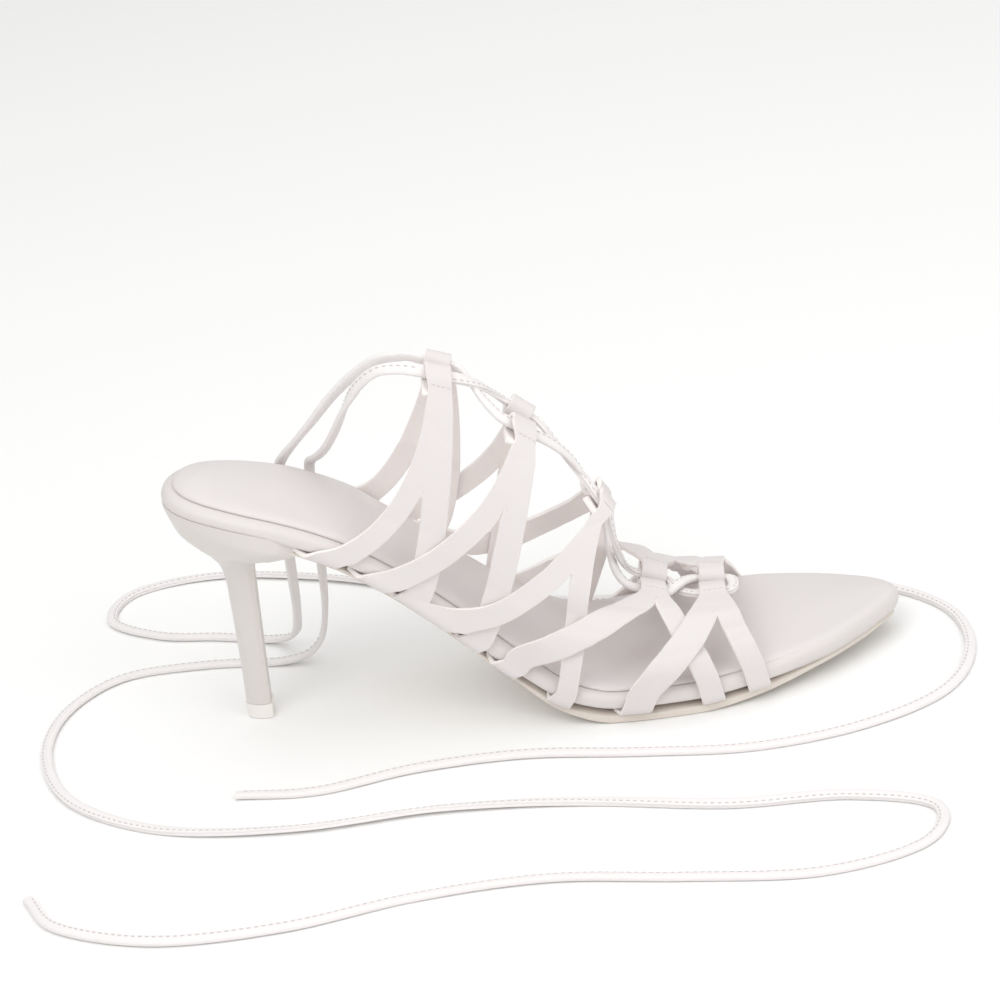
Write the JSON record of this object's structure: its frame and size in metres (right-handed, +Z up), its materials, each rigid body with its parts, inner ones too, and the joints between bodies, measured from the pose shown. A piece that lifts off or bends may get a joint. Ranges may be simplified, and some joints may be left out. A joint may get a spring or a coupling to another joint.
{
  "type": "ankle strap sandal",
  "caption": "Open-backed stiletto sandal for the right foot: crossing leather V straps with loops, a lace through them that ends in long ankle ties, padded footbed and covered heel.",
  "frame": {"origin": "centre of the shoe's own box at the floor it stands on, its free ties left out", "axes": "+X to the toe, +Y to the inner side of the foot, +Z up"},
  "size_m": [0.3191, 0.2528, 0.1278],
  "materials": {
    "white_leather": "smooth white leather, satin",
    "insole_leather": "smooth grey-white lining leather over a thin pad",
    "sole_leather": "tan sole leather, matte",
    "heel_cover": "white leather stretched over the heel, satin",
    "heel_tip": "off-white matte rubber",
    "lace_leather": "folded and stitched white leather lace"
  },
  "bodies": {
    "root": {"footbed": "white_leather", "insole_pad": "insole_leather", "outsole": "sole_leather", "heel": "heel_cover", "heel_tip": "heel_tip", "upper_lateral": "white_leather", "upper_medial": "white_leather", "lace_bight": "lace_leather", "lace_cross_1": "lace_leather", "lace_cross_2": "lace_leather", "lace_cross_3": "lace_leather", "lace_cross_4": "lace_leather", "lace_end_lateral": "lace_leather", "lace_end_medial": "lace_leather"}
  },
  "joints": []
}
